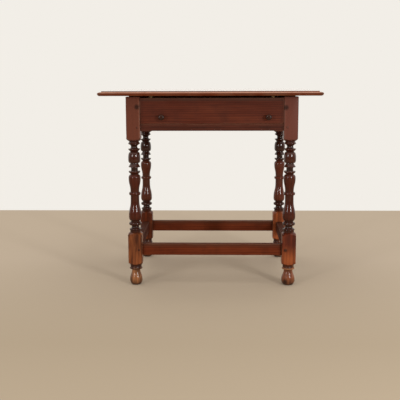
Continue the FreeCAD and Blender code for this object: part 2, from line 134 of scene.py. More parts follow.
class Grain(Enum):
    """Which way the fibres run. The value turns that way onto the Z of the wood's own pattern."""

    ALONG_X = (0.0, -90.0, 0.0)
    ALONG_Y = (90.0, 0.0, 0.0)
    ALONG_Z = (0.0, 0.0, 0.0)


@dataclass(frozen=True)
class WoodColours:
    """What the eye tells apart in one wood, as sRGB hex."""

    dark: str
    mid: str
    light: str
    # dark wax and dirt; in the legs' hollows it also paints shade
    grime_and_shade: str
    worn: str


@dataclass(frozen=True)
class Figure:
    """Patterns of one piece of wood, ready to be mixed."""

    place: NodeSocket
    rings: NodeSocket
    bands: NodeSocket
    streaks: NodeSocket
    pores: NodeSocket
    blotches: NodeSocket


@dataclass(frozen=True)
class Timber:
    """Planed or turned wood with growth rings, fibre streaks and pores along its grain.

    Streaks and pores are drawn some three times coarser than real ones, so that they show in the render.
    A span such as early_wood holds the values of a pattern between which its mask grows to full.
    """

    name: str
    colours: WoodColours
    grain: Grain
    box: Box
    ring_mm: float = 8.0
    band_mm: float = 26.0
    streak_mm: float = 3.6
    pore_mm: float = 1.5
    blotch_mm: float = 75.0
    pith_mm: tuple[float, float, float] = (70.0, 45.0, 0.0)
    stretch: float = 0.035
    band_stretch: float = 0.12
    streak_share: float = 0.7
    band_share: float = 0.45
    early_wood: Span = (0.3, 0.5)
    late_wood: Span = (0.5, 0.7)
    open_pores: Span = (0.55, 0.75)
    pore_darkness: float = 0.5
    grime_patches: Span = (0.5, 0.72)
    grime_strength: float = 0.4
    gloss_patches: Span = (0.35, 0.65)
    roughness: Span = (0.4, 0.55)
    coat: float = 0.1
    coat_roughness: float = 0.25
    ior: float = 1.3
    specular: float = 0.25
    bump: float = 0.5
    bump_mm: float = 0.2
    bump_pore_share: float = 0.4

    def figure(self, tree: NodeTree) -> Figure:
        """Draw the wood's patterns along its grain.

        Args:
            tree: The material's node tree.

        Returns:
            The patterns.
        """
        place = add_node(tree, "TexCoord", output="Object")
        turn = [math.radians(angle) for angle in self.grain.value]
        centre = (self.box[0] + self.box[1]) / 2
        shift = Vector(self.pith_mm) * MM - Euler(turn).to_matrix() @ centre
        aligned = add_node(tree, "Mapping", (place, shift, turn))
        drawn_out, broad = (add_node(tree, "Mapping", {"Vector": aligned, "Scale": (1, 1, length)})
                            for length in (self.stretch, self.band_stretch))
        rings = add_node(tree, "TexWave",
                         {"Vector": drawn_out, "Scale": math.tau / WAVE_RADIANS / (self.ring_mm * MM),
                          "Distortion": 6.0, "Detail": 3.0, "Detail Scale": 0.6, "Detail Roughness": 0.65},
                         "Fac", wave_type="RINGS", rings_direction="Z")
        patterns = {}
        for name, space, size_mm, options in (
                ("bands", broad, self.band_mm, {"Detail": 3.0, "Distortion": 0.6}),
                ("streaks", drawn_out, self.streak_mm, {"Detail": 3.0, "Roughness": 0.65}),
                ("pores", drawn_out, self.pore_mm, {"Detail": 1.0}),
                ("blotches", aligned, self.blotch_mm, {"Detail": 4.0, "Roughness": 0.6})):
            patterns[name] = add_node(tree, "TexNoise",
                                      {"Vector": space, "Scale": 1 / (size_mm * MM), **options})
        return Figure(place, rings, **patterns)

    def layers(self, tree: NodeTree, figure: Figure) -> list[Layer]:
        """Give the grime and wear that lie over the bare figure.

        Args:
            tree: The material's node tree.
            figure: The wood's patterns.

        Returns:
            A colour and a mask for each layer, from the lowest up.
        """
        patches = add_node(tree, "MapRange", (figure.blotches, *self.grime_patches, 0.0, self.grime_strength))
        return [(self.colours.grime_and_shade, patches)]

    def gloss(self, tree: NodeTree, figure: Figure) -> NodeSocket:
        """Give the roughness, which changes from patch to patch."""
        return add_node(tree, "MapRange", (figure.blotches, *self.gloss_patches, *self.roughness))

    def material(self) -> Material:
        """Build the finish of one piece.

        Returns:
            The material.
        """
        made = bpy.data.materials.new(self.name)
        tree = fresh_tree(made)
        figure = self.figure(tree)
        fibres = add_node(tree, "Mix", {"Factor": self.streak_share, "A": figure.rings, "B": figure.streaks},
                          data_type="FLOAT")
        lines = add_node(tree, "Mix", {"Factor": self.band_share, "A": fibres, "B": figure.bands},
                         data_type="FLOAT")
        early = add_node(tree, "MapRange", (lines, *self.early_wood))
        late = add_node(tree, "MapRange", (lines, *self.late_wood))
        pores = add_node(tree, "MapRange", (figure.pores, *self.open_pores, 0.0, self.pore_darkness))
        bare = [(self.colours.mid, early), (self.colours.light, late), (self.colours.dark, pores)]
        colour = painted(tree, self.colours.dark, bare + self.layers(tree, figure))
        height = add_node(tree, "Mix",
                          {"Factor": self.bump_pore_share, "A": figure.streaks, "B": figure.pores},
                          data_type="FLOAT")
        relief = add_node(tree, "Bump",
                          {"Strength": self.bump, "Distance": self.bump_mm * MM, "Height": height})
        shader = add_node(tree, "BsdfPrincipled",
                          {"Base Color": colour, "Roughness": self.gloss(tree, figure), "IOR": self.ior,
                           "Specular IOR Level": self.specular, "Coat Weight": self.coat,
                           "Coat Roughness": self.coat_roughness, "Normal": relief})
        add_node(tree, "OutputMaterial", (shader,))
        return made


@dataclass(frozen=True)
class WaxedBoard(Timber):
    """A squared walnut piece under old wax: its arrises are rubbed pale, and its ends hold dark wax."""

    edge_mm: float = 4.0
    edge_patches: Span = (0.35, 0.65)
    edge_least: float = 0.2
    edge_core: float = 0.3
    edge_wear: float = 0.5
    end_grime_mm: float = 16.0
    end_grime: float = 0.5
    # band under the upper edge: painted highlight on the moulded edge, painted sheen on the stretchers,
    # partly painted highlight on the rail, a greyer band on the drawer front
    upper_colour: str = "#4A2C20"
    upper_mm: Span = (12.0, 0.0)
    upper_fade_mm: float = 0.5
    upper_patches: Span = (0.35, 0.6)
    upper_least: float = 0.6
    upper_band_strength: float = 0.0

    def layers(self, tree: NodeTree, figure: Figure) -> list[Layer]:
        """Add a band under the upper edge, which on some pieces is a painted highlight or painted sheen,
        grimy ends and worn arrises, measured from the box's faces.

        Args:
            tree: The material's node tree.
            figure: The wood's patterns.

        Returns:
            A colour and a mask for each layer, from the lowest up.
        """
        centre = (self.box[0] + self.box[1]) / 2
        half = (self.box[1] - self.box[0]) / 2
        offset = add_node(tree, "VectorMath", (figure.place, centre), operation="SUBTRACT")
        away = add_node(tree, "VectorMath", (offset,), operation="ABSOLUTE")
        inside = add_node(tree, "VectorMath", (half, away), operation="SUBTRACT")
        depths = [add_node(tree, "SeparateXYZ", (inside,), axis) for axis in "XYZ"]
        upper = self.upper_band(tree, figure, add_node(tree, "SeparateXYZ", (offset,), "Z"), half.z)
        along = list(Grain).index(self.grain)
        end = add_node(tree, "MapRange", (depths[along], 0.0, self.end_grime_mm * MM, self.end_grime, 0.0))
        arris = self.worn_arris(tree, figure, depths)
        return super().layers(tree, figure) + [
            (self.upper_colour, upper), (self.colours.grime_and_shade, end), (self.colours.worn, arris)]

    def upper_band(self, tree: NodeTree, figure: Figure, level: NodeSocket, half_height: float) -> NodeSocket:
        """Mask a patchy band under the upper edge.

        Args:
            tree: The material's node tree.
            figure: The wood's patterns.
            level: Height over the piece's middle.
            half_height: Half the piece's height.

        Returns:
            The mask.
        """
        deep, shallow = (half_height - depth * MM for depth in self.upper_mm)
        patchy = add_node(tree, "MapRange", (figure.blotches, *self.upper_patches,
                                             self.upper_least * self.upper_band_strength, self.upper_band_strength))
        rise = add_node(tree, "MapRange", (level, deep, (deep + 2 * shallow) / 3, 0.0, patchy))
        fall = add_node(tree, "MapRange", (level, shallow, shallow + self.upper_fade_mm * MM, 1.0, 0.0))
        return add_node(tree, "Math", (rise, fall), operation="MULTIPLY")

    def worn_arris(self, tree: NodeTree, figure: Figure, depths: list[NodeSocket]) -> NodeSocket:
        """Mask the arrises, which are where the second nearest face of the box is close.

        Args:
            tree: The material's node tree.
            figure: The wood's patterns.
            depths: How far inside the box's faces a point lies, along X, Y and Z.

        Returns:
            The mask.
        """
        nearer = add_node(tree, "Math", (depths[0], depths[1]), operation="MINIMUM")
        farther = add_node(tree, "Math", (depths[0], depths[1]), operation="MAXIMUM")
        second = add_node(tree, "Math", (farther, depths[2]), operation="MINIMUM")
        middle = add_node(tree, "Math", (nearer, second), operation="MAXIMUM")
        reach = add_node(tree, "MapRange", (figure.blotches, *self.edge_patches,
                                            self.edge_least * self.edge_mm * MM, self.edge_mm * MM))
        near_edge = add_node(tree, "Math", (middle, reach), operation="DIVIDE")
        return add_node(tree, "MapRange", (near_edge, self.edge_core, 1.0, self.edge_wear, 0.0))


class LegZone(Enum):
    """Stretches of a leg: lower and upper level and blend in millimetres, and how strong the tone is.

    They are painted in this order, so the small ones at the foot lie over the large ones.
    """

    UPPER_BLOCK = (536.0, 750.0, 8.0, 0.8)
    SPOOL = (414.0, 536.0, 10.0, 0.65)
    VASE = (246.0, 414.0, 12.0, 0.45)
    BASE = (196.0, 246.0, 8.0, 0.5)
    LOWER_BLOCK = (78.0, 196.0, 6.0, 0.8)
    BLOCK_END = (76.0, 124.0, 60.0, 0.8)
    FOOT = (-50.0, 58.0, 6.0, 0.85)
    # the dark collar under the lower block is dark wax and painted shade
    ANKLE = (66.0, 78.0, 4.0, 0.7)
    ANKLE_RING = (59.0, 65.0, 2.0, 0.8)
    # the darker underside of the foot is painted shade
    SOLE = (-50.0, 16.0, 26.0, 0.85)


@dataclass(frozen=True)
class LegTones:
    """Tones of one leg, named for its zones, which differ from leg to leg, and its dark marks.

    Each mark holds its X, Y, Z and radius.
    """

    upper_block: str = "#613324"
    inner_arris: str = "#7E5242"
    spool: str = "#2A130B"
    vase: str = "#3E180D"
    base: str = "#2C140C"
    lower_block: str = "#4A200F"
    block_end: str = "#4A200F"
    ankle: str = "#2C160C"
    ankle_ring: str = "#3E2113"
    foot: str = "#6B4029"
    # painted shade under the foot
    sole: str = "#2E1B10"
    streaking: float = 0.5
    marks_mm: tuple[tuple[float, float, float, float], ...] = ()

    def of(self, zone: LegZone) -> str:
        """Give the tone of one zone."""
        return getattr(self, zone.name.lower())


@dataclass(frozen=True)
class WaxedTurning(Timber):
    """Turned walnut: dark wax and painted shade lie in the hollows, and the low parts are rubbed warm and
    dry.

    Streaks such as dark_bands hold the values of a pattern between which they grow, and their strength.
    """

    tones: LegTones = LegTones()
    axis_mm: Span = (281.5, 220.0)
    hollow_mm: Span = (12.0, 18.0)
    # the hollows darken: dark wax, and painted shade where the hollows lie in shadow
    hollow_wax_and_shade: float = 0.6
    arris_mm: Span = (-18.0, -24.0)
    arris_wear: float = 0.7
    upper_mm: Span = (545.0, 675.0)
    lower_mm: Span = (-50.0, 196.0)
    ankle_mm: float = 54.0
    blend_mm: float = 8.0
    dark_bands: tuple[float, float, float] = (0.52, 0.38, 0.85)
    worn_bands: tuple[float, float, float] = (0.54, 0.66, 0.6)
    dark_streaks: tuple[float, float, float] = (0.48, 0.62, 0.5)
    mark_core: float = 0.4
    mark_strength: float = 0.75

    def between(self, tree: NodeTree, level: NodeSocket, low: float, high: float,
                blend: float, strength: float) -> NodeSocket:
        """Mask a stretch of the leg's height.

        Args:
            tree: The material's node tree.
            level: Height over the floor.
            low: Its lower end, in millimetres.
            high: Its upper end.
            blend: How far each end fades.
            strength: The mask's value inside.

        Returns:
            The mask.
        """
        rise, fall = (add_node(tree, "MapRange",
                               (level, (end - blend / 2) * MM, (end + blend / 2) * MM, *values))
                      for end, values in ((low, (0.0, strength)), (high, (1.0, 0.0))))
        return add_node(tree, "Math", (rise, fall), operation="MULTIPLY")

    def layers(self, tree: NodeTree, figure: Figure) -> list[Layer]:
        """Add the tones by height, streaks low down, dark wax and painted shade in the hollows, a worn arris
        and marks.

        Args:
            tree: The material's node tree.
            figure: The wood's patterns.

        Returns:
            A colour and a mask for each layer, from the lowest up.
        """
        away = add_node(tree, "VectorMath", (figure.place,), operation="ABSOLUTE")
        axis = (*(distance * MM for distance in self.axis_mm), 0.0)
        offset = add_node(tree, "VectorMath", (away, axis), operation="SUBTRACT")
        level = add_node(tree, "SeparateXYZ", (figure.place,), "Z")
        tones = [(self.tones.of(zone), self.between(tree, level, *zone.value)) for zone in LegZone]
        return (super().layers(tree, figure) + tones + self.streak_layers(tree, figure, level)
                + [self.wax_layer(tree, level, offset), self.arris_layer(tree, level, offset)]
                + self.mark_layers(tree, figure))

    def streak_layers(self, tree: NodeTree, figure: Figure, level: NodeSocket) -> list[Layer]:
        """Give the dark and pale streaks of the lower block and the foot.

        Args:
            tree: The material's node tree.
            figure: The wood's patterns.
            level: Height over the floor.

        Returns:
            A colour and a mask for each kind of streak.
        """
        lower = self.between(tree, level, *self.lower_mm, self.blend_mm, 1.0)
        found = []
        for colour, pattern, (start, end, strength) in (
                (self.colours.dark, figure.bands, self.dark_bands),
                (self.colours.worn, figure.bands, self.worn_bands),
                (self.colours.dark, figure.streaks, self.dark_streaks)):
            streaks = add_node(tree, "MapRange", (pattern, start, end, 0.0, strength * self.tones.streaking))
            found.append((colour, add_node(tree, "Math", (streaks, lower), operation="MULTIPLY")))
        return found

    def wax_layer(self, tree: NodeTree, level: NodeSocket, offset: NodeSocket) -> Layer:
        """Give the dark wax and the painted shade in the hollows over the ankle.

        Args:
            tree: The material's node tree.
            level: Height over the floor.
            offset: Place from the leg's axis.

        Returns:
            Its colour and mask.
        """
        flat = add_node(tree, "VectorMath", (offset, (1.0, 1.0, 0.0)), operation="MULTIPLY")
        radius = add_node(tree, "VectorMath", (flat,), "Value", operation="LENGTH")
        inner, outer = (distance * MM for distance in self.hollow_mm)
        hollow = add_node(tree, "MapRange", (radius, inner, outer, self.hollow_wax_and_shade, 0.0))
        turned = add_node(tree, "MapRange", (level, self.ankle_mm * MM, (self.ankle_mm + self.blend_mm) * MM))
        return self.colours.grime_and_shade, add_node(tree, "Math", (hollow, turned), operation="MULTIPLY")

    def arris_layer(self, tree: NodeTree, level: NodeSocket, offset: NodeSocket) -> Layer:
        """Give the rubbed arris of the upper block, on the side of the drawer.

        Args:
            tree: The material's node tree.
            level: Height over the floor.
            offset: Place from the leg's axis.

        Returns:
            Its colour and mask.
        """
        inward = add_node(tree, "SeparateXYZ", (offset,), "X")
        start, end = (distance * MM for distance in self.arris_mm)
        near_arris = add_node(tree, "MapRange", (inward, start, end, 0.0, self.arris_wear))
        upper = self.between(tree, level, *self.upper_mm, self.blend_mm, 1.0)
        return self.tones.inner_arris, add_node(tree, "Math", (near_arris, upper), operation="MULTIPLY")

    def mark_layers(self, tree: NodeTree, figure: Figure) -> list[Layer]:
        """Give the round dark marks.

        Args:
            tree: The material's node tree.
            figure: The wood's patterns.

        Returns:
            A colour and a mask for each mark.
        """
        found = []
        for *place, size in self.tones.marks_mm:
            gap = add_node(tree, "VectorMath", (figure.place, Vector(place) * MM), "Value",
                           operation="DISTANCE")
            mark = add_node(tree, "MapRange",
                            (gap, self.mark_core * size * MM, size * MM, self.mark_strength, 0.0))
            found.append((self.colours.grime_and_shade, mark))
        return found


@dataclass(frozen=True)
class ForgedIron:
    """Hand-forged nail iron: black scale with rust bloom, rough and hardly shiny."""

    name: str
    scale_colour: str = "#2B2725"
    rust_colour: str = "#5A3622"
    bloom_mm: float = 1.5
    rust_patches: Span = (0.45, 0.65)
    gloss_patches: Span = (0.4, 0.7)
    roughness: Span = (0.5, 0.8)
    metallic: float = 0.6
    bump: float = 0.5
    bump_mm: float = 0.2

    def material(self) -> Material:
        """Build the finish.

        Returns:
            The material.
        """
        made = bpy.data.materials.new(self.name)
        tree = fresh_tree(made)
        place = add_node(tree, "TexCoord", output="Object")
        bloom = add_node(tree, "TexNoise",
                         {"Vector": place, "Scale": 1 / (self.bloom_mm * MM), "Detail": 4.0})
        rusty = add_node(tree, "MapRange", (bloom, *self.rust_patches))
        colour = painted(tree, self.scale_colour, [(self.rust_colour, rusty)])
        rough = add_node(tree, "MapRange", (bloom, *self.gloss_patches, *self.roughness))
        relief = add_node(tree, "Bump",
                          {"Strength": self.bump, "Distance": self.bump_mm * MM, "Height": bloom})
        shader = add_node(tree, "BsdfPrincipled", {"Base Color": colour, "Metallic": self.metallic,
                                                   "Roughness": rough, "Normal": relief})
        add_node(tree, "OutputMaterial", (shader,))
        return made


# Old walnut under dark red-brown wax, as on the drawer front and the aprons
WAXED_WALNUT = WoodColours("#421A0E", "#532315", "#622E1B", "#36170E", "#724432")
# The top's walnut, a little faded on its polished face
TOP_WALNUT = WoodColours("#4A2114", "#5C2C1B", "#6E3A25", "#3A1B11", "#7A4A34")
# The moulded edge, which hands keep warm and bright, grey with old wax at its ends
EDGE_WALNUT = WoodColours("#4E1F0D", "#642B12", "#7C3D1E", "#46342A", "#945C3C")
# The same wood on the rail and the side stretchers, darker as painted shade because they get less light, and
# less worn
RAIL_WALNUT = WoodColours("#34160D", "#441E13", "#52261A", "#24110A", "#64402F")
# The same wood on the legs, darker on the turning; its grime colour, the darkest, also serves as painted
# shade in the hollows
LEG_WALNUT = WoodColours("#280D05", "#3C1407", "#501D0B", "#120602", "#A8683A")
# The same wood on the long stretchers, redder and less darkened
STRETCHER_WALNUT = WoodColours("#481C0E", "#5C2714", "#6E331B", "#2E150C", "#7A5540")
# Bare pine of the hidden pieces, browned by age and dusty
BARE_PINE = WoodColours("#7A5B3A", "#A5825A", "#BC9A70", "#5E4630", "#B79A75")
# Knobs and pegs of hard fruitwood, nearly black from handling
DARK_FRUITWOOD = WoodColours("#1E100B", "#34190F", "#4A2717", "#150B07", "#5B3A2A")
# Pegs of the upper joints, waxed and rubbed together with the blocks that they pin
WAXED_FRUITWOOD = WoodColours("#3E2016", "#522C20", "#64392B", "#2E170F", "#7E5848")

# What the photograph shows of each leg: the front ones are rubbed warm low down, the rear ones are dark
LEG_TONES = {
    "front_left": LegTones(
        upper_block="#683828", spool="#3A180B", vase="#4A1604", lower_block="#764022", block_end="#7A4122",
        ankle_ring="#5A3A24", foot="#A56C44", streaking=0.8, marks_mm=((-267.0, -245.0, 655.0, 12.0),)),
    # the front right leg's pale ankle ring is partly a painted highlight
    "front_right": LegTones(
        upper_block="#6A3A2E", inner_arris="#6E463A", spool="#3E1A0D", vase="#461706", lower_block="#602513",
        block_end="#9E5229", ankle_ring="#94623E", foot="#7E462C",
        marks_mm=((263.0, -245.0, 652.0, 12.0), (270.0, -238.0, 16.0, 11.0), (268.0, -245.0, 134.0, 9.0))),
    "rear_left": LegTones(vase="#5C2814", lower_block="#62290F", block_end="#5C280F"),
    "rear_right": LegTones(vase="#6E3522", lower_block="#9C5029", block_end="#98502A"),
}


class LatheOutline:
    """Half the outline of a turned piece, followed from its top down, in millimetres."""

    curve_steps = 9
    quarter_round = 0.5523      # reach of the handles of a curve that stands for a quarter circle
    least_step = 0.001          # points that lie closer than this are one

    def __init__(self, radius: float, level: float) -> None:
        """Start on the axis and go straight out to a radius."""
        self.points: list[Vector] = [Vector((0.0, 0.0, level))]
        self.line(radius, level)

    @property
    def level(self) -> float:
        """Level that the outline has come down to."""
        return self.points[-1].z

    def line(self, radius: float, level: float) -> None:
        """Go straight to a point, unless the outline is there already.

        Args:
            radius: The point's radius.
            level: Its level.
        """
        end = Vector((radius, 0.0, level))
        if (end - self.points[-1]).length > self.least_step:
            self.points.append(end)

    def step(self, radius: float) -> None:
        """Go level to a radius."""
        self.line(radius, self.level)

    def fall(self, radius: float, drop: float) -> None:
        """Go straight to a radius that lies lower by a drop."""
        self.line(radius, self.level - drop)

    def arc(self, radius: float, drop: float, middle_radius: float) -> None:
        """Follow a bead or a hollow.

        Args:
            radius: Radius at its lower end.
            drop: Its height.
            middle_radius: Radius half way down.
        """
        start = self.points[-1]
        end = Vector((radius, 0.0, start.z - drop))
        middle = Vector((middle_radius, 0.0, start.z - drop / 2))
        square = Vector((0.0, 1.0, 0.0))
        first, second = (start + middle) / 2, (middle + end) / 2
        centre = intersect_line_line(first, first + (middle - start).cross(square),
                                     second, second + (end - middle).cross(square))[0]
        spoke = start - centre
        axis = spoke.cross(middle - centre).normalized()
        sweep = spoke.angle(middle - centre) + (middle - centre).angle(end - centre)
        for count in range(1, self.curve_steps + 1):
            self.points.append(centre + Quaternion(axis, sweep * count / self.curve_steps) @ spoke)

    def curve(self, near: Vector, far: Vector, end: Vector) -> None:
        """Follow a cubic curve with two handles to an end point."""
        self.points += interpolate_bezier(self.points[-1], near, far, end, self.curve_steps + 1)[1:]

    def quarter(self, radius: float, drop: float, upright_first: bool) -> None:
        """Follow a quarter round.

        Args:
            radius: Radius at its lower end.
            drop: Its height.
            upright_first: Whether it leaves along the axis, and not square to it.
        """
        start = self.points[-1]
        end = Vector((radius, 0.0, start.z - drop))
        corner = Vector((start.x, 0.0, end.z) if upright_first else (radius, 0.0, start.z))
        self.curve(start.lerp(corner, self.quarter_round), end.lerp(corner, self.quarter_round), end)

    def sway(self, radius: float, drop: float) -> None:
        """Follow a double curve that leaves and arrives along the axis.

        Args:
            radius: Radius at its lower end.
            drop: Its height.
        """
        start = self.points[-1]
        halfway = start.z - drop / 2
        self.curve(Vector((start.x, 0.0, halfway)), Vector((radius, 0.0, halfway)),
                   Vector((radius, 0.0, start.z - drop)))

    def turned(self, segments: int) -> BMesh:
        """Close the outline on the axis and turn it.

        Args:
            segments: Faces round the axis.

        Returns:
            A closed mesh in metres.
        """
        self.step(0.0)
        shape = bmesh.new()
        corners = [shape.verts.new(point * MM) for point in self.points]
        edges = [shape.edges.new(pair) for pair in zip(corners, corners[1:])]
        bmesh.ops.spin(shape, geom=corners + edges, cent=(0, 0, 0), axis=(0, 0, 1), angle=math.tau,
                       steps=segments, use_merge=True)
        bmesh.ops.remove_doubles(shape, verts=shape.verts, dist=self.least_step * MM)
        bmesh.ops.recalc_face_normals(shape, faces=shape.faces)
        return shape


def finished(name: str, shape: BMesh, materials: list[Material], body: str,
             node: str, sharp_deg: float = 40.0) -> Object:
    """Make an object of a mesh, and let it stand for a solid of the frame.

    Args:
        name: Name of the piece.
        shape: Its mesh, in place, which is used up.
        materials: Its finishes, in the order of the faces' numbers.
        body: The body that it moves with.
        node: The solid that it stands for.
        sharp_deg: Edges that turn more than this stay crisp.

    Returns:
        The object.
    """
    for face in shape.faces:
        face.smooth = True
    mesh = bpy.data.meshes.new(name)
    shape.to_mesh(mesh)
    shape.free()
    if "custom_normal" in mesh.attributes:
        mesh.attributes.remove(mesh.attributes["custom_normal"])
    mesh.set_sharp_from_angle(angle=math.radians(sharp_deg))
    for material in materials:
        mesh.materials.append(material)
    piece = bpy.data.objects.new(name, mesh)
    bpy.context.scene.collection.objects.link(piece)
    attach(piece, body)
    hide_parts(node)
    log.info("%s: %d faces, moves with %s", name, len(mesh.polygons), body)
    return piece


def soften(piece: Object, width_mm: float, limit_deg: float = 40.0) -> None:
    """Round the crisp edges of a piece a little, as handling does.

    Args:
        piece: The object.
        width_mm: Width of the rounding.
        limit_deg: Only edges that turn more than this are rounded.
    """
    rounding = piece.modifiers.new("rounded_edges", "BEVEL")
    rounding.width = width_mm * MM
    rounding.segments = 2
    rounding.limit_method = "ANGLE"
    rounding.angle_limit = math.radians(limit_deg)
    rounding.harden_normals = True


def dress_node(node: str, finish: Timber, rounding_mm: float) -> None:
    """Keep a solid as it is, with its edges eased and a real finish.

    Args:
        node: Name of the solid.
        finish: Its finish.
        rounding_mm: How far its edges are eased.
    """
    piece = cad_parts[node]
    weld = piece.modifiers.new("joined_faces", "WELD")
    weld.merge_threshold = SAME_PLACE
    soften(piece, rounding_mm)
    piece.material_slots[0].material = finish.material()
    log.info("%s: kept, finished in %s", node, finish.name)


def dress_in_pine(node: str, grain: Grain, rounding_mm: float) -> None:
    """Keep a hidden solid, finished as bare pine.

    Args:
        node: Name of the solid.
        grain: Which way its fibres run.
        rounding_mm: How far its edges are eased.
    """
    finish = Timber(f"bare_pine_{node}", BARE_PINE, grain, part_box(node), roughness=(0.6, 0.8), coat=0.0)
    dress_node(node, finish, rounding_mm)


def box_of(places: list[Vector]) -> Box:
    """Give the lowest and highest corner round some points."""
    return tuple(Vector(pick(place[axis] for place in places) for axis in range(3)) for pick in (min, max))


def joined_copy(node: str) -> BMesh:
    """Copy a solid with the corners of its faces joined.

    Args:
        node: Name of the solid.

    Returns:
        The copy.
    """
    shape = bmesh.new()
    shape.from_mesh(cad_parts[node].data)
    bmesh.ops.remove_doubles(shape, verts=shape.verts, dist=SAME_PLACE)
    return shape


def separate_solids(node: str) -> list[list[Vector]]:
    """Find the separate solids of a grouped node.

    Args:
        node: Name of the node.

    Returns:
        The corner points of each solid, in the order of their places.
    """
    shape = joined_copy(node)
    left = set(shape.verts)
    solids = []
    while left:
        found = [left.pop()]
        for vert in found:
            linked = {edge.other_vert(vert) for edge in vert.link_edges} & left
            left -= linked
            found += linked
        solids.append([vert.co.copy() for vert in found])
    shape.free()
    return sorted(solids, key=lambda places: tuple(round(value, 5) for value in box_of(places)[0]))


def pin_sizes(low: Vector, high: Vector) -> tuple[float, float, Vector]:
    """Measure a round pin that lies along one axis.

    Args:
        low: Its lowest corner.
        high: Its highest corner.

    Returns:
        Its length, its radius and the direction of its axis.
    """
    size = high - low
    axis = max(range(3), key=lambda k: size[k])
    return size[axis], size[(axis + 1) % 3] / 2, Vector([float(k == axis) for k in range(3)])


